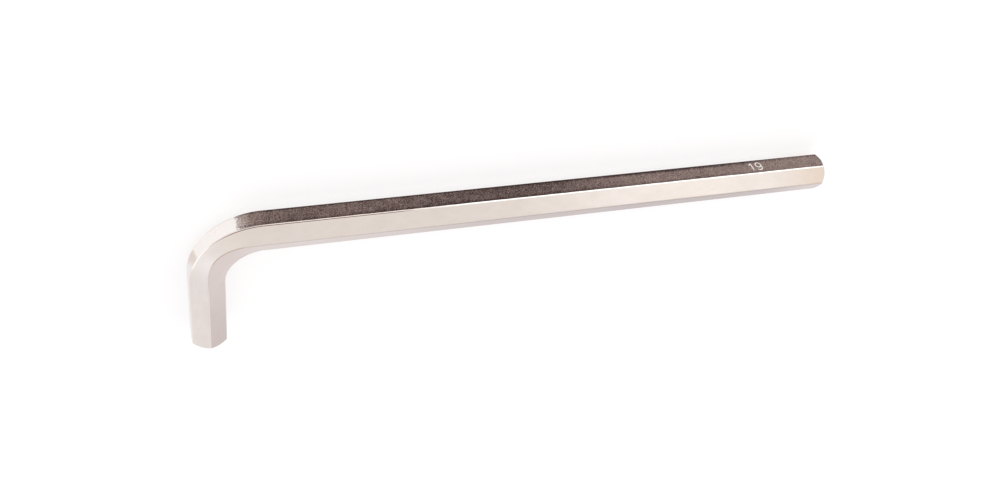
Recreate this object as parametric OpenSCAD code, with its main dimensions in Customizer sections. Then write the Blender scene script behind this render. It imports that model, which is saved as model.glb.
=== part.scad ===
// An L-shaped hexagon key, bent from one hexagonal bar, in millimetres.
// It lies on its side: the long arm runs along X and the short arm points to -Y.
// Two flats of the bar face outwards and inwards at the bend, and two of its edges face up and down.
// The origin is under the middle of the key's box, on the surface that it lies on.

/* [Bar] */
// Width of the bar across two opposite flats
across_flats = 19; // [8:0.5:36]
// Radius of the bar's six rounded edges
edge_r = 1.3; // [0.3:0.1:2]

/* [Arms] */
// Length of the long arm, from its tip to the outside of the short arm
long_length = 380; // [150:1:600]
// Length of the short arm, from its tip to the outside of the long arm
short_length = 89; // [65:1:160]
// Width of the chamfer round each tip, at the middle of a flat
tip_chamfer = 0.8; // [0.3:0.1:2]
// Angle between the chamfer and the tip's end face
tip_angle = 40; // [25:1:60]

/* [Bend] */
// Radius of the inner flat round the bend
bend_r = 20.5; // [10:0.5:40]
// How far the side edges drift outwards in the middle of the bend, as a share of the bar's width
edge_drift = 0.22; // [0:0.01:0.3]
// How much the outer flat narrows and the inner flat widens there, as a share of their width
flat_spread = 0.08; // [0:0.01:0.12]

/* [Hidden] */

// Steps round one rounded edge of the bar, and degrees between two sections of the bend
EDGE_STEPS = 4;
BEND_STEP = 3;
BEND_ANGLE = 90;

half_flats = across_flats / 2;
// Distance from the bar's axis to the centre of each edge's rounding, and to the edge itself
edge_centre = (half_flats - edge_r) / cos(30);
half_corners = edge_centre + edge_r;
tip_r = half_flats - tip_chamfer;
// Distance from the bend's centre to the axis of each arm
axis_r = bend_r + half_flats;

// The straight part of each arm, between the bend and the tip
long_straight = long_length - half_flats - axis_r;
short_straight = short_length - half_flats - axis_r;

// The bar's outline as [outward, upward] points: a hexagon with rounded edges, one edge facing up
function bar_outline() = [
    for (edge = [0:5], step = [0:EDGE_STEPS])
        let (
            corner = 60 * edge,
            turn = corner - 30 + 60 * step / EDGE_STEPS
        )
        [
            edge_centre * sin(corner) + edge_r * sin(turn),
            edge_centre * cos(corner) + edge_r * cos(turn)
        ]
];

// How far the metal has moved at an angle round the bend: none at its ends, all of it half way
function flow(angle) = pow(sin(180 * angle / BEND_ANGLE), 2);

// Where a point of the outline lies at an angle round the bend, 0 at the long arm
function bend_point(point, angle) =
    let (
        outward = point[0] / half_flats,
        drift = edge_drift * across_flats * flow(angle) * (1 - abs(outward)),
        reach = axis_r + point[0] + drift,
        height = point[1] * (1 - flat_spread * flow(angle) * outward)
    )
    [axis_r - reach * sin(angle), reach * cos(angle) - axis_r, height];

// One straight arm, rising from the plane where the bend ends to its chamfered tip.
// The outline's outward side faces +X.
module arm(straight) {
    intersection() {
        linear_extrude(height = straight) polygon(bar_outline());
        cylinder(h = straight, r1 = tip_r + straight / tan(tip_angle), r2 = tip_r, $fn = 96);
    }
}

// The bend: the outline carried round a quarter circle, section by section.
// Drawing the bar round the corner pushes its side edges outwards and changes the width of its flats.
module bend() {
    outline = bar_outline();
    count = len(outline);
    last = BEND_ANGLE / BEND_STEP;
    points = [for (ring = [0:last]) for (point = outline) bend_point(point, ring * BEND_STEP)];
    near_cap = [[for (i = [0:count - 1]) i]];
    far_cap = [[for (i = [count - 1:-1:0]) last * count + i]];
    walls = [
        for (ring = [0:last - 1], i = [0:count - 1])
            let (
                here = ring * count + i,
                beside = ring * count + (i + 1) % count
            )
            each [[here, here + count, beside], [beside, here + count, beside + count]]
    ];
    polyhedron(points = points, faces = concat(near_cap, walls, far_cap));
}

// The whole key, with the axes of its two arms crossing at the middle of its box's corner
module hex_key() {
    color([0.72, 0.70, 0.68])
    translate([half_flats - long_length / 2, short_length / 2 - half_flats, half_corners]) {
        translate([axis_r, 0, 0]) rotate([90, 0, 90]) arm(long_straight);
        translate([0, -axis_r, 0]) rotate([90, 0, 0]) mirror([1, 0, 0]) arm(short_straight);
        bend();
    }
}

hex_key();
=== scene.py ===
"""A bent hexagon key of nickel-plated steel, lying on its side on a pale floor."""

import logging
import math
from collections.abc import Iterator, Sequence
from contextlib import contextmanager
from dataclasses import dataclass
from enum import Enum

import bmesh
import bpy
from bmesh.types import BMEdge, BMesh, BMFace, BMVert
from mathutils import Matrix, Vector


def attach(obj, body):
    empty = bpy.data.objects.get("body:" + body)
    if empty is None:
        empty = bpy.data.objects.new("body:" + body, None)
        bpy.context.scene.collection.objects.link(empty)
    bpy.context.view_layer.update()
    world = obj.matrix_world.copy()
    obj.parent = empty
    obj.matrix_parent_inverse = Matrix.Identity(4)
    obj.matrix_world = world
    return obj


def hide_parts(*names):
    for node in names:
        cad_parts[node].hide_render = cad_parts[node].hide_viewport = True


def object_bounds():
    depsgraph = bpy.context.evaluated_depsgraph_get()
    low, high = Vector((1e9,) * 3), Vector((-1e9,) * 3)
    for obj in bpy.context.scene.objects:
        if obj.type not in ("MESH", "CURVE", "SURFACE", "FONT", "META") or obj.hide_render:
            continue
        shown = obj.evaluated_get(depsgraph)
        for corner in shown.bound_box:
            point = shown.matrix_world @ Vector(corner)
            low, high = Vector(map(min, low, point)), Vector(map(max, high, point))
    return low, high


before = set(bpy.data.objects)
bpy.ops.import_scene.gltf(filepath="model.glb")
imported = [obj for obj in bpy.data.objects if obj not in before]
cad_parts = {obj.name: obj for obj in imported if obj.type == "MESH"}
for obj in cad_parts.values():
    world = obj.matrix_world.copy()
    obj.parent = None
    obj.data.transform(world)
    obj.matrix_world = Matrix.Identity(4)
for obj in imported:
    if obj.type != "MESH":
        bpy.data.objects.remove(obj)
CAD_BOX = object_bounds()

LOG = logging.getLogger("hex_key")

MM = 0.001
# The mesh attribute that says where each point lies on the straight bar
PLACE = "bar_place"
# Degrees round the bar's axis from the middle of a flat to its edge
EDGE_ANGLE = 30.0
# Sockets of a Mix node for colours: the share and the two colours, and the result
MIX_INPUTS = (0, 6, 7)
MIX_RESULT = 2

Socket = bpy.types.NodeSocket
Value = Socket | Sequence[float] | float
Colour = tuple[float, float, float]
Point = tuple[float, float]
Range = tuple[float, float]


def shade(colour: Colour) -> tuple[float, float, float, float]:
    """Gives a colour its alpha, as Blender's sockets want it."""
    return (*colour, 1.0)


def add_object(name: str, data: bpy.types.ID) -> bpy.types.Object:
    """Makes an object and puts it in the scene.

    Args:
        name: The object's name.
        data: Its mesh, curve, light or camera.

    Returns:
        The new object.
    """
    made = bpy.data.objects.new(name, data)
    bpy.context.scene.collection.objects.link(made)
    return made


def mesh_of(source: bpy.types.Object) -> bpy.types.Mesh:
    """Makes a mesh of an object as its modifiers leave it.

    Args:
        source: An object of the scene.

    Returns:
        The new mesh.
    """
    bpy.context.view_layer.update()
    shown = source.evaluated_get(bpy.context.evaluated_depsgraph_get())
    return bpy.data.meshes.new_from_object(shown)


@contextmanager
def editing(mesh: bpy.types.Mesh) -> Iterator[BMesh]:
    """Opens a mesh for bmesh operators, and writes it back at the end.

    Args:
        mesh: The mesh, which may still be empty.

    Yields:
        The mesh's editable form.
    """
    bm = bmesh.new()
    bm.from_mesh(mesh)
    yield bm
    bm.to_mesh(mesh)
    bm.free()


def settle(bm: BMesh) -> None:
    """Sorts a mesh's faces by their points, since a bevel's order changes from run to run.

    Args:
        bm: The mesh.
    """
    bm.verts.index_update()
    count = len(bm.verts)

    def rank(face: BMFace) -> int:
        """Numbers a face by its first, second and last point, which no other face shares."""
        points = sorted(vert.index for vert in face.verts)
        return (points[0] * count + points[1]) * count + points[-1]

    bm.faces.sort(key=rank)


class Numeral(Enum):
    """The figures that the size stamp can strike."""

    ONE = "1"
    NINE = "9"


@dataclass(frozen=True)
class Stroke:
    """One groove of a figure, as a path in a box one wide and one high."""

    points: tuple[Point, ...]
    closed: bool = False


def arc(centre: Point, radii: Point, start: float, end: float, steps: int) -> tuple[Point, ...]:
    """Works out points along an arc of an ellipse.

    Args:
        centre: The ellipse's centre.
        radii: Its half width and half height.
        start: The first angle, in degrees.
        end: The last angle, in degrees.
        steps: How many steps lie between them.

    Returns:
        The points from start to end.
    """
    angles = [math.radians(start + (end - start) * i / steps) for i in range(steps + 1)]
    return tuple(
        (centre[0] + radii[0] * math.cos(angle), centre[1] + radii[1] * math.sin(angle))
        for angle in angles
    )


STROKES: dict[Numeral, tuple[Stroke, ...]] = {
    Numeral.ONE: (
        Stroke(((0.62, 1.0), (0.62, 0.0))),
        Stroke(((0.62, 1.0), (0.15, 0.72))),
    ),
    Numeral.NINE: (
        Stroke(arc((0.5, 0.69), (0.5, 0.31), 0, 345, 23), closed=True),
        Stroke(((1.0, 0.69), (1.0, 0.34)) + arc((0.5, 0.32), (0.5, 0.32), -10, -150, 10)),
    ),
}


class Nodes:
    """A short way to write a material's node tree."""

    def __init__(self, tree: bpy.types.NodeTree) -> None:
        """Starts with an empty tree."""
        self.tree = tree
        tree.nodes.clear()

    def add(self, kind: str, **settings: object) -> bpy.types.Node:
        """Adds a node.

        Args:
            kind: The node's type, without the ShaderNode before it.
            settings: Values for its properties.

        Returns:
            The new node.
        """
        node = self.tree.nodes.new("ShaderNode" + kind)
        for name, value in settings.items():
            setattr(node, name, value)
        return node

    def feed(self, socket: Socket, value: Value) -> None:
        """Gives a node's socket what it works on.

        Args:
            socket: The socket to feed.
            value: Another node's output to link to it, or a constant to set on it.
        """
        if isinstance(value, Socket):
            self.tree.links.new(value, socket)
        else:
            socket.default_value = value

    def math(self, operation: str, *values: Value) -> Socket:
        """Adds one step of arithmetic.

        Args:
            operation: What it does, as Blender names it.
            values: The values that it works on.

        Returns:
            The result.
        """
        node = self.add("Math", operation=operation)
        for socket, value in zip(node.inputs, values):
            self.feed(socket, value)
        return node.outputs[0]

    def chain(self, operation: str, values: Sequence[Value]) -> Value:
        """Works through several values, two at a time.

        Args:
            operation: What is done with each next value.
            values: The values.

        Returns:
            The last result.
        """
        result = values[0]
        for value in values[1:]:
            result = self.math(operation, result, value)
        return result

    def total(self, *values: Value) -> Value:
        """Adds several values up."""
        return self.chain("ADD", values)

    def product(self, *values: Value) -> Value:
        """Multiplies several values."""
        return self.chain("MULTIPLY", values)

    def most(self, *values: Value) -> Value:
        """Takes the largest of several values."""
        return self.chain("MAXIMUM", values)

    def less(self, value: Value, taken: Value) -> Socket:
        """Takes one value from another."""
        return self.math("SUBTRACT", value, taken)

    def step(self, value: Value, zero: float, one: float) -> Socket:
        """Turns a value into a share with a smooth change in it.

        Args:
            value: The value.
            zero: Where the share is 0.
            one: Where it is 1, on either side of zero.

        Returns:
            The share, level beyond both ends.
        """
        node = self.add("MapRange", interpolation_type="SMOOTHSTEP")
        self.feed(node.inputs["Value"], value)
        rising = zero < one
        node.inputs["From Min"].default_value = min(zero, one)
        node.inputs["From Max"].default_value = max(zero, one)
        node.inputs["To Min"].default_value = 0.0 if rising else 1.0
        node.inputs["To Max"].default_value = 1.0 if rising else 0.0
        return node.outputs["Result"]

    def scale(self, share: Value, low: float, high: float) -> Socket:
        """Spreads a share over a range.

        Args:
            share: A value from 0 to 1.
            low: What 0 becomes.
            high: What 1 becomes.

        Returns:
            The value in the range.
        """
        node = self.add("MapRange")
        self.feed(node.inputs["Value"], share)
        node.inputs["To Min"].default_value = low
        node.inputs["To Max"].default_value = high
        return node.outputs["Result"]

    def mix(self, share: Value, first: Value, second: Value) -> Socket:
        """Mixes two colours.

        Args:
            share: How much of the second colour there is, from 0 to 1.
            first: The first colour.
            second: The second colour.

        Returns:
            The mixed colour.
        """
        node = self.add("Mix", data_type="RGBA")
        for index, value in zip(MIX_INPUTS, (share, first, second)):
            self.feed(node.inputs[index], value)
        return node.outputs[MIX_RESULT]

    def bump(self, height: Value, distance: float, normal: Socket | None = None) -> Socket:
        """Adds a bump of a real height.

        Args:
            height: The bump's form, from 0 to 1.
            distance: Its height, in metres.
            normal: The normal under it, if it has been bumped before.

        Returns:
            The bumped normal.
        """
        node = self.add("Bump")
        self.feed(node.inputs["Height"], height)
        node.inputs["Distance"].default_value = distance
        if normal is not None:
            self.feed(node.inputs["Normal"], normal)
        return node.outputs[0]


@dataclass(frozen=True)
class BarShape:
    """The sizes of the bent bar. Its lengths and its place come from the frame."""

    low: Vector
    high: Vector
    across_flats: float = 19 * MM
    edge_radius: float = 1.3 * MM
    bend_radius: float = 20.5 * MM
    edge_drift: float = 0.22
    flat_spread: float = 0.08
    tip_chamfer: float = 0.8 * MM
    tip_angle: float = 40.0

    @property
    def half_flats(self) -> float:
        """Distance from the bar's axis to each flat."""
        return self.across_flats / 2

    @property
    def axis_radius(self) -> float:
        """Radius of the bar's axis round the bend."""
        return self.bend_radius + self.half_flats

    @property
    def tip_radius(self) -> float:
        """Radius of the round face at each tip."""
        return self.half_flats - self.tip_chamfer

    @property
    def tip_slope(self) -> float:
        """How far the chamfer falls back from the tip for each step outwards."""
        return math.tan(math.radians(self.tip_angle))

    @property
    def centre(self) -> Vector:
        """The bend's centre, at the height of the bar's axis."""
        reach = self.axis_radius + self.half_flats
        middle = (self.low.z + self.high.z) / 2
        return Vector((self.low.x + reach, self.high.y - reach, middle))

    @property
    def long_straight(self) -> float:
        """Length of the long arm's straight part."""
        return self.high.x - self.centre.x

    @property
    def short_straight(self) -> float:
        """Length of the short arm's straight part."""
        return self.centre.y - self.low.y

    @property
    def bend_length(self) -> float:
        """Length of the bar's axis round the bend."""
        return self.axis_radius * math.pi / 2

    def bar_place(self, point: Vector) -> Vector:
        """Finds where a point of the bent bar lies in the straight one.

        Args:
            point: A point of the bar, bent round a true circle.

        Returns:
            Its distance along the bar from the long arm's end of the bend, its distance
            outwards from the axis, and its height over the axis.
        """
        x, y, z = point - self.centre
        if x >= 0:
            return Vector((x, y - self.axis_radius, z))
        if y <= 0:
            return Vector((y - self.bend_length, -x - self.axis_radius, z))
        angle, reach = math.atan2(-x, y), math.hypot(x, y)
        return Vector((-angle * self.axis_radius, reach - self.axis_radius, z))

    def draw(self, point: Vector) -> Vector:
        """Moves a point as the bend's metal flows: side edges outwards, flats in width.

        Args:
            point: A point of the bar, bent round a true circle.

        Returns:
            Where the point lies in the real bend.
        """
        place = self.bar_place(point)
        if not -self.bend_length < place.x < 0:
            return point
        angle = -place.x / self.axis_radius
        flow = math.sin(2 * angle) ** 2
        outward = place.y / self.half_flats
        drift = self.edge_drift * self.across_flats * flow * (1 - min(abs(outward), 1))
        reach = self.axis_radius + place.y + drift
        height = place.z * (1 - self.flat_spread * flow * outward)
        return self.centre + Vector((-reach * math.sin(angle), reach * math.cos(angle), height))


@dataclass(frozen=True)
class Stamp:
    """A size number struck into the outer flat, read with the long tip on the right."""

    figures: tuple[Numeral, ...]
    start_x: float = 138.6 * MM
    height: float = 6.0 * MM
    width: float = 3.5 * MM
    pitch: float = 5.0 * MM
    groove_radius: float = 0.42 * MM
    groove_depth: float = 0.27 * MM
    groove_steps: int = 3
    weld: float = 0.001 * MM

    def cutters(self, shape: BarShape) -> list[bpy.types.Object]:
        """Makes a round rod along each stroke, to cut the grooves with.

        Args:
            shape: The bar's sizes.

        Returns:
            One closed mesh for each stroke.
        """
        axis_y = shape.high.y + (self.groove_radius - self.groove_depth)
        top = shape.centre.z + self.height / 2
        made = []
        for index, figure in enumerate(self.figures):
            corner = Vector((self.start_x + index * self.pitch, axis_y, top))
            for stroke in STROKES[figure]:
                path = [
                    corner + Vector((x * self.width, 0, -y * self.height))
                    for x, y in stroke.points
                ]
                made.append(self.rod(path, stroke.closed))
        return made

    def rod(self, path: Sequence[Vector], closed: bool) -> bpy.types.Object:
        """Makes a rod of round section along a path.

        Args:
            path: The points that the rod's axis follows.
            closed: Whether the rod is a ring.

        Returns:
            The rod, in the scene until it has cut its groove.
        """
        curve = bpy.data.curves.new("stroke", "CURVE")
        curve.dimensions = "3D"
        curve.bevel_depth = self.groove_radius
        curve.bevel_resolution = self.groove_steps
        curve.use_fill_caps = True
        spline = curve.splines.new("POLY")
        spline.points.add(len(path) - 1)
        for point, place in zip(spline.points, path):
            point.co = (*place, 1.0)
        spline.use_cyclic_u = closed
        source = add_object("stroke", curve)
        mesh = mesh_of(source)
        bpy.data.objects.remove(source)
        with editing(mesh) as bm:
            bmesh.ops.remove_doubles(bm, verts=bm.verts, dist=self.weld)
            bmesh.ops.recalc_face_normals(bm, faces=bm.faces)
        return add_object("stroke", mesh)


@dataclass(frozen=True)
class BarPlace:
    """Where a point of the surface lies on the straight bar, as sockets of a material.

    The angle round the bar is in degrees, 0 on the outer flat and 90 on the upper edge. The
    turn is the same angle whichever way round. The rest is in metres.
    """

    place: Socket
    along: Socket
    outward: Socket
    angle: Socket
    turn: Socket
    radius: Socket

    @classmethod
    def read(cls, nodes: Nodes) -> "BarPlace":
        """Reads the mesh's own attribute.

        Args:
            nodes: The material's nodes.

        Returns:
            The place.
        """
        stored = nodes.add("Attribute", attribute_name=PLACE, attribute_type="GEOMETRY")
        place = stored.outputs["Vector"]
        split = nodes.add("SeparateXYZ")
        nodes.feed(split.inputs[0], place)
        along, outward, up = split.outputs
        angle = nodes.math("DEGREES", nodes.math("ARCTAN2", up, outward))
        turn = nodes.math("ABSOLUTE", angle)
        squares = nodes.total(nodes.product(outward, outward), nodes.product(up, up))
        return cls(place, along, outward, angle, turn, nodes.math("SQRT", squares))


@dataclass(frozen=True)
class Layer:
    """A layer of noise. Its size is in metres, and it may be drawn out along the bar."""

    size: float
    detail: float = 2.0
    roughness: float = 0.5
    drawn: float = 1.0

    def at(self, nodes: Nodes, place: Socket) -> Socket:
        """Gives the layer's tone at a place.

        Args:
            nodes: The material's nodes.
            place: The place on the straight bar.

        Returns:
            The tone, from 0 to 1.
        """
        if self.drawn != 1.0:
            stretched = nodes.add("Mapping")
            nodes.feed(stretched.inputs["Vector"], place)
            stretched.inputs["Scale"].default_value = (1 / self.drawn, 1.0, 1.0)
            place = stretched.outputs[0]
        noise = nodes.add("TexNoise")
        nodes.feed(noise.inputs["Vector"], place)
        noise.inputs["Scale"].default_value = 1 / self.size
        noise.inputs["Detail"].default_value = self.detail
        noise.inputs["Roughness"].default_value = self.roughness
        return noise.outputs["Fac"]


@dataclass(frozen=True)
class Ramp:
    """A smooth change from 0 at one value to 1 at another, on either side of it."""

    zero: float
    one: float

    def at(self, nodes: Nodes, value: Value, origin: float = 0.0) -> Socket:
        """Gives the share that a value has, measured from an origin."""
        return nodes.step(value, origin + self.zero, origin + self.one)


@dataclass(frozen=True)
class Span:
    """A stretch along the bar, in metres, or round it, in degrees, with soft ends."""

    low: float
    high: float
    soft: float

    def share(self, nodes: Nodes, value: Value) -> Value:
        """Gives 1 in the span, and falls to 0 over its soft ends."""
        rise = nodes.step(value, self.low - self.soft, self.low)
        return nodes.product(rise, nodes.step(value, self.high + self.soft, self.high))


@dataclass(frozen=True)
class Shift:
    """A change of tone that comes in smoothly between two places along the bar."""

    start: float
    end: float
    amount: float

    def at(self, nodes: Nodes, along: Socket) -> Value:
        """Gives how much of the change a place has."""
        return nodes.product(nodes.step(along, self.start, self.end), self.amount)


@dataclass(frozen=True)
class SlantedBorder:
    """A soft border across the bar, which slants by some metres for each degree round it."""

    ramp: Ramp
    slant: float

    def share(self, nodes: Nodes, bar: BarPlace) -> Socket:
        """Gives a place's share on the ramp, which the angle round the bar shifts."""
        slid = nodes.total(bar.along, nodes.product(bar.angle, -self.slant))
        return self.ramp.at(nodes, slid)


@dataclass(frozen=True)
class EdgeLine:
    """A thin line of another colour along two of the bar's rounded edges."""

    turn: Span
    along: Span
    colour: Colour
    strength: float

    def over(self, nodes: Nodes, bar: BarPlace, colour: Socket) -> Socket:
        """Draws the line over a colour.

        Args:
            nodes: The material's nodes.
            bar: Where the point lies on the bar.
            colour: The colour under the line.

        Returns:
            The colour with the line.
        """
        turn, along = self.turn.share(nodes, bar.turn), self.along.share(nodes, bar.along)
        return nodes.mix(nodes.product(turn, along, self.strength), colour, shade(self.colour))


@dataclass(frozen=True)
class Plating:
    """The nickel's colour: warm sides, painted light on the outer flat, painted shade on the
    inner flats.

    Its places are in metres along the bar from the long arm's end of the bend. Angles round
    the bar are in degrees.
    """

    long_end: float
    bend_end: float
    short_end: float
    # painted light: a lighter copy of the plating on the outer flat
    bright: Colour = (0.92, 0.88, 0.85)
    bend_light: Colour = (0.92, 0.85, 0.80)
    pale: Colour = (0.82, 0.785, 0.785)
    cold: Colour = (0.80, 0.785, 0.82)
    warm: Colour = (0.84, 0.785, 0.742)
    cool: Colour = (0.82, 0.775, 0.745)
    tan: Colour = (0.80, 0.69, 0.59)
    # painted shade: the next two colours are darker copies of the plating on the inner flats
    shaded_inner: Colour = (0.745, 0.666, 0.633)
    grey: Colour = (0.45, 0.383, 0.374)
    worn: Colour = (0.58, 0.48, 0.42)
    # a painted tan reflection on the outer flat of the bend
    tan_reflection: Colour = (0.69, 0.58, 0.51)
    haze: Layer = Layer(6 * MM, detail=3, roughness=0.6, drawn=2)
    outer_flat: Ramp = Ramp(28, 25)
    inner_flats: Ramp = Ramp(0.4 * MM, -0.4 * MM)
    # How far the colours of the tips reach back from the long tip and from the bend's end
    long_reach: Ramp = Ramp(-45 * MM, 0.0)
    short_reach: float = 15 * MM
    # The sides
    warm_cloud: Ramp = Ramp(0.35, 0.65)
    side_haze: Range = (-0.14, 0.26)
    tip_tan: float = 0.85
    bright_bend: Span = Span(-32 * MM, -16 * MM, 12 * MM)
    bend_glow: float = 0.4
    # The outer flat off the painted dark reflection, and the painted tan reflection on its bend
    fade: Ramp = Ramp(-33.5 * MM, -36.5 * MM)
    chill: Ramp = Ramp(-42 * MM, -60 * MM)
    tan_reflection_start: SlantedBorder = SlantedBorder(Ramp(-31.6 * MM, -34.0 * MM), 0.036 * MM)
    tan_reflection_end: SlantedBorder = SlantedBorder(Ramp(-40.8 * MM, -36.0 * MM), 0.10 * MM)
    tan_reflection_strength: float = 0.78
    # How the painted shade on the inner flats turns to grey along the bar
    inner_shifts: tuple[Shift, ...] = (
        Shift(-28 * MM, -2 * MM, 0.31),
        Shift(25 * MM, 150 * MM, 0.53),
        Shift(183 * MM, 210 * MM, 0.17),
    )
    long_tip_shift: float = -0.58
    short_tip_shift: float = 0.35
    inner_haze: Range = (-0.25, 0.30)
    # Wear on the edges, in its places round the bar, in the grain and along the bar
    rubbed_edge: Ramp = Ramp(28.2, 29.6)
    rubbed_grain: Ramp = Ramp(0.30, 0.62)
    rubbed_bend: Ramp = Ramp(-52 * MM, -34 * MM)
    rubbed_strength: Range = (0.12, 0.35)
    # Lines along the edges; the first is painted shade and the next two are painted highlights
    edge_lines: tuple[EdgeLine, ...] = (
        # painted shade: a dark line by the outer flat's edges, from the bend onto the long arm
        EdgeLine(
            Span(31.7, 33.5, 0.5), Span(-13 * MM, 70 * MM, 13 * MM), (0.19, 0.10, 0.08), 0.85
        ),
        # a painted highlight along the outer flat's edges on the bend
        EdgeLine(
            Span(28.2, 32.8, 0.6), Span(-36 * MM, -26 * MM, 3 * MM), (1.00, 0.98, 0.95), 0.95
        ),
        # a painted highlight along the outer flat's edges on the long arm
        EdgeLine(
            Span(27.6, 33.2, 0.6), Span(110 * MM, 400 * MM, 30 * MM), (1.00, 0.99, 0.97), 0.9
        ),
        EdgeLine(
            Span(87.8, 90.4, 0.7), Span(-27 * MM, -13 * MM, 4 * MM), (0.50, 0.37, 0.28), 0.6
        ),
        EdgeLine(
            Span(88.6, 91.0, 0.8), Span(-100 * MM, -52 * MM, 10 * MM), (0.90, 0.85, 0.81), 0.6
        ),
    )

    def side(
        self, nodes: Nodes, bar: BarPlace, cloud: Socket, haze: Socket, long_tip: Socket
    ) -> Socket:
        """Mixes the colour of the sides: warm, tan at the long tip, lighter on the bend.

        Args:
            nodes: The material's nodes.
            bar: Where the point lies on the bar.
            cloud: Slow noise.
            haze: Noise of some millimetres.
            long_tip: How near the long tip is.

        Returns:
            The colour.
        """
        colour = nodes.mix(self.warm_cloud.at(nodes, cloud), shade(self.cool), shade(self.warm))
        colour = nodes.mix(nodes.product(long_tip, self.tip_tan), colour, shade(self.tan))
        colour = nodes.mix(nodes.scale(haze, *self.side_haze), colour, shade(self.worn))
        lit = nodes.product(self.bright_bend.share(nodes, bar.along), self.bend_glow)
        return nodes.mix(lit, colour, shade(self.bend_light))

    def outside(self, nodes: Nodes, bar: BarPlace) -> Socket:
        """Mixes the colour of the outer flat: painted light on the bend, then a painted tan
        reflection, pale and cold.

        Args:
            nodes: The material's nodes.
            bar: Where the point lies on the bar.

        Returns:
            The colour.
        """
        faded = nodes.mix(self.chill.at(nodes, bar.along), shade(self.pale), shade(self.cold))
        colour = nodes.mix(self.fade.at(nodes, bar.along), shade(self.bright), faded)
        # the painted tan reflection on the bend's outer flat
        borders = (self.tan_reflection_start.share(nodes, bar), self.tan_reflection_end.share(nodes, bar))
        tan_reflection_share = nodes.product(*borders, self.tan_reflection_strength)
        return nodes.mix(tan_reflection_share, colour, shade(self.tan_reflection))

    def inside(self, nodes: Nodes, bar: BarPlace, haze: Socket, long_tip: Socket) -> Socket:
        """Mixes the colour of the inner flats: painted shade, greyer along both arms.

        Args:
            nodes: The material's nodes.
            bar: Where the point lies on the bar.
            haze: Noise of some millimetres.
            long_tip: How near the long tip is.

        Returns:
            The colour.
        """
        short_tip = nodes.step(bar.along, self.bend_end + self.short_reach, self.short_end)
        grey = nodes.total(
            *(shift.at(nodes, bar.along) for shift in self.inner_shifts),
            nodes.product(long_tip, self.long_tip_shift),
            nodes.product(short_tip, self.short_tip_shift),
        )
        colour = nodes.mix(grey, shade(self.shaded_inner), shade(self.grey))
        return nodes.mix(nodes.scale(haze, *self.inner_haze), colour, shade(self.worn))

    def colour(self, nodes: Nodes, bar: BarPlace, cloud: Socket, grain: Socket) -> Socket:
        """Mixes the colour of the whole plating, with its wear and its edge lines, some of them
        painted shade and painted highlights.

        Args:
            nodes: The material's nodes.
            bar: Where the point lies on the bar.
            cloud: Slow noise.
            grain: Fine noise.

        Returns:
            The colour.
        """
        haze = self.haze.at(nodes, bar.place)
        long_tip = self.long_reach.at(nodes, bar.along, self.long_end)
        side = self.side(nodes, bar, cloud, haze, long_tip)
        inside = self.inside(nodes, bar, haze, long_tip)
        # painted light on the outer flat, then painted shade on the inner flats
        colour = nodes.mix(self.outer_flat.at(nodes, bar.turn), side, self.outside(nodes, bar))
        colour = nodes.mix(self.inner_flats.at(nodes, bar.outward), colour, inside)
        from_flat = nodes.math("PINGPONG", bar.angle, EDGE_ANGLE)
        rubbed = nodes.product(
            self.rubbed_edge.at(nodes, from_flat),
            self.rubbed_grain.at(nodes, grain),
            nodes.scale(self.rubbed_bend.at(nodes, bar.along), *self.rubbed_strength),
        )
        colour = nodes.mix(rubbed, colour, shade(self.worn))
        for line in self.edge_lines:
            colour = line.over(nodes, bar, colour)
        return colour


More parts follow.
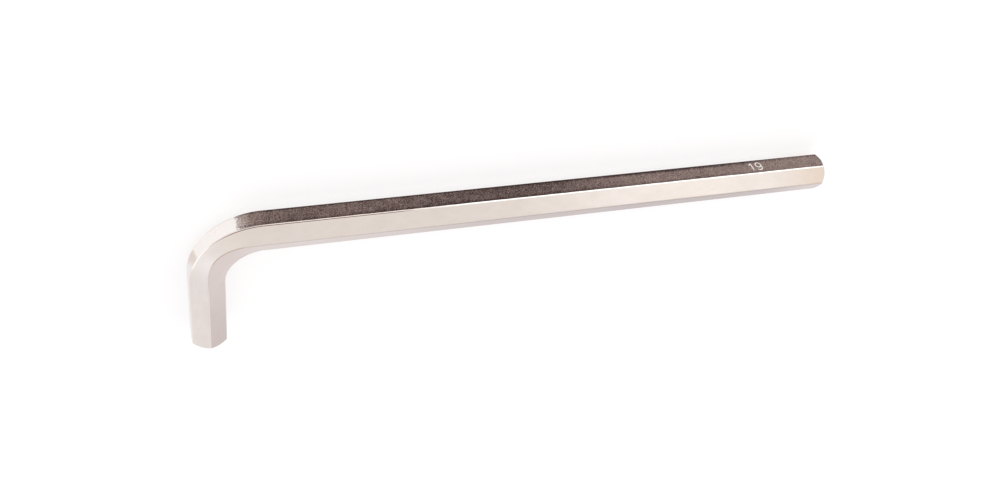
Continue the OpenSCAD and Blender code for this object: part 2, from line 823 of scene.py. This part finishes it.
@dataclass(frozen=True)
class PaintedDarkReflection:
    """A painted dark reflection, mottled, on the long arm's outer flat. Its far side is the lower
    one.

    Its places are in metres along the bar from the long arm's end of the bend, but onset,
    fleck_reach and start_reach count from its own start. Angles round the bar are in degrees.
    """

    start: float
    half_flats: float
    dark: Colour = (0.034, 0.017, 0.016)
    light: Colour = (0.51, 0.386, 0.349)
    # Where it covers the plating: its ragged start, the flecks in it, and its two sides
    fray: Range = (-1.6 * MM, 1.6 * MM)
    onset: Ramp = Ramp(-0.8 * MM, 0.4 * MM)
    flecks: Layer = Layer(0.6 * MM, roughness=0.7)
    fleck_tone: Ramp = Ramp(0.42, 0.62)
    fleck_reach: Ramp = Ramp(6 * MM, -1 * MM)
    fleck_strength: float = 0.8
    wander: Layer = Layer(0.8 * MM, drawn=10)
    wander_reach: Range = (-0.8, 0.8)
    near_side: Ramp = Ramp(29.6, 28.8)
    far_side: Ramp = Ramp(-35.0, -32.0)
    flat: Ramp = Ramp(-0.12 * MM, -0.02 * MM)
    rounding: Ramp = Ramp(20, 22)
    # Its tone, from dark at 0 to light at 1
    start_reach: Ramp = Ramp(14 * MM, 0.0)
    start_tone: Range = (0.31, 0.51)
    shifts: tuple[Shift, ...] = (
        Shift(5 * MM, 150 * MM, -0.11),
        Shift(8 * MM, 18 * MM, -0.06),
        Shift(20 * MM, 34 * MM, 0.05),
        Shift(153 * MM, 215 * MM, 0.23),
        Shift(255 * MM, 300 * MM, 0.06),
    )
    speckle: Layer = Layer(0.8 * MM, detail=4, roughness=0.8)
    speckle_spread: Range = (-1.0, 1.0)
    speckle_reach: Ramp = Ramp(60 * MM, 320 * MM)
    speckle_strength: Range = (1.15, 1.45)
    blotch: Layer = Layer(5 * MM, detail=3, roughness=0.6)
    blotch_spread: Range = (-0.21, 0.21)
    # Darker borders at both sides, and a band of its own tone by the far one
    middle: float = -2.0
    border: Ramp = Ramp(17, 30)
    border_reach: Ramp = Ramp(255 * MM, 325 * MM)
    border_tone: Range = (-0.17, -0.04)
    far_border: Ramp = Ramp(-22, -26)
    far_border_tone: float = -0.16
    far_band: Ramp = Ramp(-14, -23)
    far_band_shifts: tuple[Shift, ...] = (
        Shift(110 * MM, 160 * MM, -0.13),
        Shift(185 * MM, 212 * MM, -0.18),
        Shift(265 * MM, 325 * MM, 0.22),
    )

    def share(self, nodes: Nodes, bar: BarPlace, grain: Socket) -> Value:
        """Works out where the dark reflection is painted over the plating.

        Args:
            nodes: The material's nodes.
            bar: Where the point lies on the bar.
            grain: Fine noise, which frays its start.

        Returns:
            1 on the painted dark reflection and 0 off it.
        """
        ragged = nodes.total(bar.along, nodes.scale(grain, *self.fray))
        started = self.onset.at(nodes, ragged, self.start)
        fleck = self.fleck_tone.at(nodes, self.flecks.at(nodes, bar.place))
        thin = self.fleck_reach.at(nodes, bar.along, self.start)
        filled = nodes.less(1.0, nodes.product(fleck, thin, self.fleck_strength))
        wander = nodes.scale(self.wander.at(nodes, bar.place), *self.wander_reach)
        near = self.near_side.at(nodes, nodes.total(bar.angle, wander))
        far = self.far_side.at(nodes, bar.angle)
        flat = self.flat.at(nodes, bar.outward, self.half_flats)
        unstruck = nodes.most(flat, self.rounding.at(nodes, bar.turn))
        return nodes.product(near, far, unstruck, started, filled)

    def colour(self, nodes: Nodes, bar: BarPlace) -> Socket:
        """Mixes the mottled colour: darkest half way along the arm and paler to the tip.

        Args:
            nodes: The material's nodes.
            bar: Where the point lies on the bar.

        Returns:
            The painted dark reflection's colour.
        """
        start = self.start_reach.at(nodes, bar.along, self.start)
        speckle = nodes.product(
            nodes.scale(self.speckle.at(nodes, bar.place), *self.speckle_spread),
            nodes.scale(self.speckle_reach.at(nodes, bar.along), *self.speckle_strength),
        )
        blotch = nodes.scale(self.blotch.at(nodes, bar.place), *self.blotch_spread)
        from_middle = nodes.math("ABSOLUTE", nodes.total(bar.angle, -self.middle))
        tip_border = nodes.scale(self.border_reach.at(nodes, bar.along), *self.border_tone)
        tone = nodes.total(
            nodes.scale(start, *self.start_tone),
            *(shift.at(nodes, bar.along) for shift in self.shifts),
            speckle,
            blotch,
            nodes.product(
                self.far_band.at(nodes, bar.angle),
                nodes.total(*(shift.at(nodes, bar.along) for shift in self.far_band_shifts)),
            ),
            nodes.product(self.border.at(nodes, from_middle), tip_border),
            nodes.product(self.far_border.at(nodes, bar.angle), self.far_border_tone),
        )
        return nodes.mix(tone, shade(self.dark), shade(self.light))


@dataclass(frozen=True)
class TurnedTips:
    """The turned chamfers and end faces of the tips, in fine rings of uneven tone."""

    long_end: float
    short_end: float
    radius: float
    slope: float
    light: Colour = (0.78, 0.73, 0.70)
    dark: Colour = (0.56, 0.51, 0.48)
    # How near a point has to be to the end face, and to the chamfer's cone
    face: Ramp = Ramp(0.08 * MM, 0.02 * MM)
    chamfer: Ramp = Ramp(0.10 * MM, 0.04 * MM)
    rings: Layer = Layer(0.5 * MM, detail=3, roughness=0.7)
    ring_tone: Ramp = Ramp(0.3, 0.75)
    ring_pitch: float = 0.4 * MM

    def share(self, nodes: Nodes, bar: BarPlace) -> Value:
        """Works out where the tips were turned.

        Args:
            nodes: The material's nodes.
            bar: Where the point lies on the bar.

        Returns:
            1 on a turned surface and 0 off it.
        """
        cone = nodes.product(nodes.less(bar.radius, self.radius), self.slope)
        to_long = nodes.less(self.long_end, bar.along)
        to_short = nodes.less(bar.along, self.short_end)
        return nodes.most(
            0.0,
            self.face.at(nodes, to_long),
            self.chamfer.at(nodes, nodes.less(to_long, cone)),
            self.face.at(nodes, to_short),
            self.chamfer.at(nodes, nodes.less(to_short, cone)),
        )

    def colour(self, nodes: Nodes, bar: BarPlace) -> Socket:
        """Mixes the tips' colour.

        Args:
            nodes: The material's nodes.
            bar: Where the point lies on the bar.

        Returns:
            The colour, the same all the way round a ring.
        """
        spoke = nodes.add("CombineXYZ")
        nodes.feed(spoke.inputs[0], bar.radius)
        tone = self.ring_tone.at(nodes, self.rings.at(nodes, spoke.outputs[0]))
        return nodes.mix(tone, shade(self.light), shade(self.dark))

    def relief(self, nodes: Nodes, bar: BarPlace) -> Socket:
        """Gives the form of the rings that the cutting tool leaves."""
        return nodes.math("SINE", nodes.product(bar.radius, 2 * math.pi / self.ring_pitch))


@dataclass(frozen=True)
class NickelPlate:
    """Satin nickel over a drawn steel bar, with a painted dark reflection and turned tips."""

    plating: Plating
    # the painted dark reflection on the long arm's outer flat
    scale: PaintedDarkReflection
    tips: TurnedTips
    cloud: Layer = Layer(30 * MM, detail=3)
    grain: Layer = Layer(0.9 * MM, detail=3, roughness=0.6)
    wave: Layer = Layer(10 * MM, drawn=2)
    streak: Layer = Layer(0.7 * MM, drawn=25)
    cloud_height: float = 0.15 * MM
    wave_height: float = 0.06 * MM
    streak_height: float = 0.004 * MM
    ring_height: float = 0.008 * MM
    grain_height: float = 0.008 * MM
    roughness: Range = (0.22, 0.30)
    dark_reflection_roughness: float = 0.14

    def relief(
        self, nodes: Nodes, bar: BarPlace, cloud: Socket, grain: Socket, turned: Value
    ) -> Socket:
        """Adds the drawn lines along the bar, a slight waviness, and the rings on the tips.

        Args:
            nodes: The material's nodes.
            bar: Where the point lies on the bar.
            cloud: Slow noise.
            grain: Fine noise.
            turned: Where the tips were turned.

        Returns:
            The bumped normal.
        """
        drawn = nodes.product(self.streak.at(nodes, bar.place), nodes.less(1.0, turned))
        rings = nodes.product(self.tips.relief(nodes, bar), turned)
        normal = None
        for form, height in (
            (cloud, self.cloud_height),
            (self.wave.at(nodes, bar.place), self.wave_height),
            (drawn, self.streak_height),
            (rings, self.ring_height),
            (grain, self.grain_height),
        ):
            normal = nodes.bump(form, height, normal)
        return normal

    def material(self) -> bpy.types.Material:
        """Builds the finish as a node material.

        Returns:
            The material.
        """
        made = bpy.data.materials.new("nickel_plate")
        made.use_nodes = True
        nodes = Nodes(made.node_tree)
        bar = BarPlace.read(nodes)
        cloud = self.cloud.at(nodes, bar.place)
        grain = self.grain.at(nodes, bar.place)
        turned = self.tips.share(nodes, bar)
        # where the dark reflection is painted over the plating
        dark_reflection_share = nodes.product(self.scale.share(nodes, bar, grain), nodes.less(1.0, turned))
        plated = self.plating.colour(nodes, bar, cloud, grain)
        colour = nodes.mix(dark_reflection_share, plated, self.scale.colour(nodes, bar))
        colour = nodes.mix(turned, colour, self.tips.colour(nodes, bar))
        satin = nodes.scale(cloud, *self.roughness)
        surface = nodes.add("BsdfPrincipled")
        surface.inputs["Metallic"].default_value = 1.0
        nodes.feed(surface.inputs["Base Color"], colour)
        rough = nodes.total(satin, nodes.product(dark_reflection_share, self.dark_reflection_roughness))
        nodes.feed(surface.inputs["Roughness"], rough)
        normal = self.relief(nodes, bar, cloud, grain, turned)
        nodes.feed(surface.inputs["Normal"], normal)
        nodes.feed(nodes.add("OutputMaterial").inputs[0], surface.outputs[0])
        return made


@dataclass(frozen=True)
class HexKey:
    """The key: one bar, bent, chamfered at its tips, stamped with its size and plated."""

    shape: BarShape
    stamp: Stamp
    edge_steps: int = 6
    flat_cuts: int = 11
    bend_steps: int = 48
    soft_edge: float = 0.12 * MM
    soft_steps: int = 2
    weld: float = 0.01 * MM
    sharp_angle: float = 28.0
    # Degrees round the bend where the painted dark reflection starts
    dark_reflection_angle: float = 19.9

    def outline(self, bm: BMesh) -> list[BMEdge]:
        """Draws the bar's outline at the long arm's end of the bend.

        Args:
            bm: The mesh to draw it in.

        Returns:
            The edges of a hexagon with rounded corners.
        """
        shape = self.shape
        corner = math.radians(EDGE_ANGLE)
        bmesh.ops.create_circle(
            bm, cap_ends=True, segments=6, radius=shape.half_flats / math.cos(corner)
        )
        bmesh.ops.bevel(
            bm,
            geom=bm.verts[:],
            offset=shape.edge_radius * math.tan(corner),
            offset_type="OFFSET",
            affect="VERTICES",
            segments=self.edge_steps,
            profile=0.5,
            material=-1,
        )
        flats = [edge for edge in bm.edges if edge.calc_length() > shape.edge_radius]
        bmesh.ops.subdivide_edges(bm, edges=flats, cuts=self.flat_cuts)
        bmesh.ops.delete(bm, geom=bm.faces[:], context="FACES_ONLY")
        place = Matrix(
            (
                (0, 0, 1, shape.centre.x),
                (1, 0, 0, shape.centre.y + shape.axis_radius),
                (0, 1, 0, shape.centre.z),
                (0, 0, 0, 1),
            )
        )
        bmesh.ops.transform(bm, matrix=place, verts=bm.verts)
        return bm.edges[:]

    @staticmethod
    def draw_out(bm: BMesh, ring: list[BMEdge]) -> tuple[list[BMVert], list[BMEdge]]:
        """Adds a row of faces to a ring of edges.

        Args:
            bm: The mesh.
            ring: The edges.

        Returns:
            The points and the open edges on the new side.
        """
        made = bmesh.ops.extrude_edge_only(bm, edges=ring)["geom"]
        points = [item for item in made if isinstance(item, BMVert)]
        edges = [item for item in made if isinstance(item, BMEdge)]
        return points, [edge for edge in edges if len(edge.link_faces) == 1]

    def extend(
        self, bm: BMesh, ring: list[BMEdge], side: Vector, axis: Vector, length: float
    ) -> list[BMEdge]:
        """Draws an arm out from one end of the bend, and turns the chamfer at its tip.

        Args:
            bm: The mesh.
            ring: The edges at that end of the bend.
            side: The direction from the bend's centre to that end.
            axis: The direction of the arm.
            length: The length of its straight part.

        Returns:
            The two rings of edges that bound the chamfer.
        """
        shape = self.shape
        centre = shape.centre + side * shape.axis_radius
        tip = centre + axis * length
        points, rim = self.draw_out(bm, ring)
        for vert in points:
            past_face = max((vert.co - centre).length - shape.tip_radius, 0)
            vert.co += axis * (length - past_face * shape.tip_slope)
        points, mouth = self.draw_out(bm, rim)
        for vert in points:
            spoke = vert.co - tip
            spoke -= axis * spoke.dot(axis)
            vert.co = tip + spoke.normalized() * shape.tip_radius
        bmesh.ops.contextual_create(bm, geom=mouth)
        return rim + mouth

    def bar(self) -> bpy.types.Object:
        """Makes the bar with its bend still a true circle.

        Returns:
            The bar as a closed mesh.
        """
        shape = self.shape
        mesh = bpy.data.meshes.new("key")
        with editing(mesh) as bm:
            start = self.outline(bm)
            turned = bmesh.ops.spin(
                bm,
                geom=bm.verts[:] + start,
                cent=shape.centre,
                axis=(0, 0, 1),
                dvec=(0, 0, 0),
                angle=math.pi / 2,
                steps=self.bend_steps,
            )["geom_last"]
            end = [item for item in turned if isinstance(item, BMEdge)]
            right, back = Vector((1, 0, 0)), Vector((0, 1, 0))
            rims = self.extend(bm, start, back, right, shape.long_straight)
            rims += self.extend(bm, end, -right, -back, shape.short_straight)
            bmesh.ops.bevel(
                bm,
                geom=rims,
                offset=self.soft_edge,
                offset_type="OFFSET",
                affect="EDGES",
                segments=self.soft_steps,
                profile=0.5,
                material=-1,
            )
            bmesh.ops.recalc_face_normals(bm, faces=bm.faces)
            settle(bm)
        return add_object("key", mesh)

    def strike(self, bar: bpy.types.Object) -> bpy.types.Mesh:
        """Strikes the size number into the bar.

        Args:
            bar: The bar as a closed mesh. It is used up.

        Returns:
            The mesh with its grooves, still closed.
        """
        cutters = self.stamp.cutters(self.shape)
        for cutter in cutters:
            cut = bar.modifiers.new("groove", "BOOLEAN")
            cut.operation = "DIFFERENCE"
            cut.solver = "EXACT"
            cut.object = cutter
        mesh = mesh_of(bar)
        for spent in (bar, *cutters):
            bpy.data.objects.remove(spent)
        with editing(mesh) as bm:
            bmesh.ops.remove_doubles(bm, verts=bm.verts, dist=self.weld)
            bmesh.ops.dissolve_degenerate(bm, dist=self.weld, edges=bm.edges)
        return mesh

    def finish(self) -> NickelPlate:
        """Fits the finish to the bar's sizes.

        Returns:
            The finish.
        """
        shape = self.shape
        long_end, bend_end = shape.long_straight, -shape.bend_length
        short_end = bend_end - shape.short_straight
        dark_reflection_start = -shape.axis_radius * math.radians(self.dark_reflection_angle)
        return NickelPlate(
            Plating(long_end, bend_end, short_end),
            PaintedDarkReflection(dark_reflection_start, shape.half_flats),
            TurnedTips(long_end, short_end, shape.tip_radius, shape.tip_slope),
        )

    def build(self) -> bpy.types.Object:
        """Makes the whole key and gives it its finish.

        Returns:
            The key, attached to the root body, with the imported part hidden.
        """
        mesh = self.strike(self.bar())
        mesh.name = "plated_key"
        places = [self.shape.bar_place(vert.co) for vert in mesh.vertices]
        attribute = mesh.attributes.new(PLACE, "FLOAT_VECTOR", "POINT")
        attribute.data.foreach_set("vector", [value for place in places for value in place])
        for vert in mesh.vertices:
            vert.co = self.shape.draw(vert.co)
        mesh.polygons.foreach_set("use_smooth", [True] * len(mesh.polygons))
        mesh.set_sharp_from_angle(angle=math.radians(self.sharp_angle))
        key = add_object("plated_key", mesh)
        weighted = key.modifiers.new("even_shading", "WEIGHTED_NORMAL")
        weighted.keep_sharp = True
        mesh.materials.clear()
        mesh.materials.append(self.finish().material())
        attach(key, "root")
        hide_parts("hex_key")
        return key


@dataclass(frozen=True)
class SoftPatch:
    """A soft round patch of light in what surrounds the key. Its angles are in degrees."""

    azimuth: float
    elevation: float
    full: float
    fade: float
    colour: Colour

    def direction(self) -> Vector:
        """Works out where the patch is seen.

        Returns:
            The direction of its middle.
        """
        azimuth, elevation = math.radians(self.azimuth), math.radians(self.elevation)
        level = math.cos(elevation)
        return Vector((math.sin(azimuth) * level, math.cos(azimuth) * level, math.sin(elevation)))

    def over(self, nodes: Nodes, ray: Socket, sky: Socket) -> Socket:
        """Lays the patch over the sky.

        Args:
            nodes: The world's nodes.
            ray: The direction looked in.
            sky: The colour so far.

        Returns:
            The colour with the patch.
        """
        near = nodes.add("VectorMath", operation="DOT_PRODUCT")
        nodes.feed(near.inputs[0], ray)
        near.inputs[1].default_value = self.direction()
        outer, inner = (math.cos(math.radians(angle)) for angle in (self.fade, self.full))
        share = nodes.step(near.outputs["Value"], outer, inner)
        return nodes.mix(share, sky, shade(self.colour))


@dataclass(frozen=True)
class Studio:
    """The floor, the light and the camera."""

    floor_size: float = 60.0
    floor_cells: int = 4
    floor_colour: Colour = (0.45, 0.45, 0.46)
    floor_glow: float = 0.62
    glow_colour: Colour = (1.0, 1.0, 1.0)
    horizon: Colour = (0.95, 0.93, 0.945)
    zenith: Colour = (0.90, 0.86, 0.83)
    sky_rise: Ramp = Ramp(0.3, 0.85)
    patches: tuple[SoftPatch, ...] = (
        SoftPatch(azimuth=-108, elevation=22, full=4, fade=24, colour=(1.03, 1.03, 1.07)),
        SoftPatch(azimuth=8, elevation=16, full=6, fade=16, colour=(1.25, 1.22, 1.18)),
        SoftPatch(azimuth=33, elevation=22, full=16, fade=26, colour=(1.50, 1.48, 1.44)),
    )
    lamp_place: tuple[float, float, float] = (0.617, 0.283, 0.951)
    lamp_aim: tuple[float, float, float] = (0.09, 0.04, 0.02)
    lamp_size: float = 0.34
    lamp_glow: float = 0.35
    camera_place: tuple[float, float, float] = (-0.22136, 0.45480, 0.42471)
    camera_aim: tuple[float, float, float] = (-0.01263, -0.00233, 0.01077)
    camera_roll: float = 156.904
    camera_near: float = 0.01
    lens: float = 39.98
    sensor: float = 36.0

    def floor(self) -> None:
        """Lays the floor, whose glow is seen and mirrored but casts no light."""
        mesh = bpy.data.meshes.new("floor")
        with editing(mesh) as bm:
            cells, half = self.floor_cells, self.floor_size / 2
            bmesh.ops.create_grid(bm, x_segments=cells, y_segments=cells, size=half)
        floor = add_object("floor", mesh)
        made = bpy.data.materials.new("floor_card")
        made.use_nodes = True
        nodes = Nodes(made.node_tree)
        card = nodes.add("BsdfDiffuse")
        card.inputs["Color"].default_value = shade(self.floor_colour)
        glow = nodes.add("Emission")
        glow.inputs["Color"].default_value = shade(self.glow_colour)
        rays = nodes.add("LightPath").outputs
        kinds = ("Is Camera Ray", "Is Glossy Ray", "Is Transmission Ray")
        seen = nodes.most(*(rays[kind] for kind in kinds))
        nodes.feed(glow.inputs["Strength"], nodes.product(seen, self.floor_glow))
        both = nodes.add("AddShader")
        for socket, shader in zip(both.inputs, (card, glow)):
            nodes.feed(socket, shader.outputs[0])
        nodes.feed(nodes.add("OutputMaterial").inputs[0], both.outputs[0])
        mesh.materials.append(made)

    def world(self) -> None:
        """Surrounds the key with plain soft light, a little warmer from above."""
        world = bpy.data.worlds.new("studio")
        bpy.context.scene.world = world
        world.use_nodes = True
        nodes = Nodes(world.node_tree)
        ray = nodes.add("TexCoord").outputs["Generated"]
        split = nodes.add("SeparateXYZ")
        nodes.feed(split.inputs[0], ray)
        risen = self.sky_rise.at(nodes, split.outputs[2])
        sky = nodes.mix(risen, shade(self.horizon), shade(self.zenith))
        for patch in self.patches:
            sky = patch.over(nodes, ray, sky)
        light = nodes.add("Background")
        nodes.feed(light.inputs["Color"], sky)
        nodes.feed(nodes.add("OutputWorld").inputs[0], light.outputs[0])

    def lamp(self) -> None:
        """Hangs a soft square lamp that adds a gleam to the long arm."""
        place, aim = Vector(self.lamp_place), Vector(self.lamp_aim)
        lamp = bpy.data.lights.new("panel", "AREA")
        lamp.shape = "SQUARE"
        lamp.size = self.lamp_size
        lamp.energy = self.lamp_glow * math.pi * self.lamp_size ** 2
        made = add_object("panel", lamp)
        made.location = place
        made.rotation_euler = (aim - place).to_track_quat("-Z", "Y").to_euler()

    def camera(self) -> None:
        """Sets the camera up at the photograph's viewing angle."""
        place, aim = Vector(self.camera_place), Vector(self.camera_aim)
        camera = bpy.data.cameras.new("camera")
        camera.lens = self.lens
        camera.sensor_width = self.sensor
        camera.clip_start = self.camera_near
        made = add_object("camera", camera)
        level = (aim - place).to_track_quat("-Z", "Y").to_matrix()
        roll = Matrix.Rotation(math.radians(self.camera_roll), 3, "Z")
        made.rotation_euler = (level @ roll).to_euler()
        made.location = place
        bpy.context.scene.camera = made

    def build(self) -> None:
        """Makes the whole studio."""
        self.floor()
        self.world()
        self.lamp()
        self.camera()
        bpy.context.scene.view_settings.view_transform = "Standard"


def main() -> None:
    """Builds the key and its studio, and logs the key's face count."""
    logging.basicConfig(level=logging.INFO, format="%(name)s: %(message)s")
    shape = BarShape(low=CAD_BOX[0], high=CAD_BOX[1])
    key = HexKey(shape, Stamp((Numeral.ONE, Numeral.NINE))).build()
    LOG.info("%s: %d faces", key.name, len(key.data.polygons))
    Studio().build()


if __name__ == "__main__":
    main()
